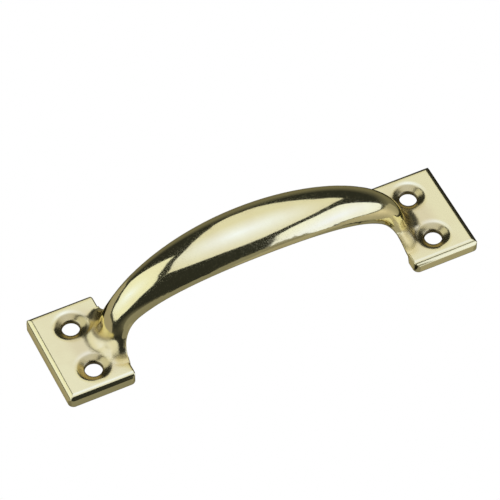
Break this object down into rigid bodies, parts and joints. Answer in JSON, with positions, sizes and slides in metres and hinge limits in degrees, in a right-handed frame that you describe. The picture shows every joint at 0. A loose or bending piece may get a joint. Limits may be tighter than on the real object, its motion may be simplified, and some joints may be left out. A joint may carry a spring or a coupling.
{
  "type": "utility pull",
  "caption": "Arched drawer and door pull stamped from one brass-finished sheet, with a hollow grip that widens at mid-span and end flanges with turned-down rims and countersunk screw holes.",
  "frame": {"origin": "centre of the mounting plane, midway between the two flanges", "axes": "+X along the pull from one flange to the other, +Y across it, +Z away from the surface it is screwed to"},
  "size_m": [0.1206, 0.0296, 0.03],
  "materials": {
    "brass": "polished"
  },
  "bodies": {
    "root": {"pull": "brass"}
  },
  "joints": []
}
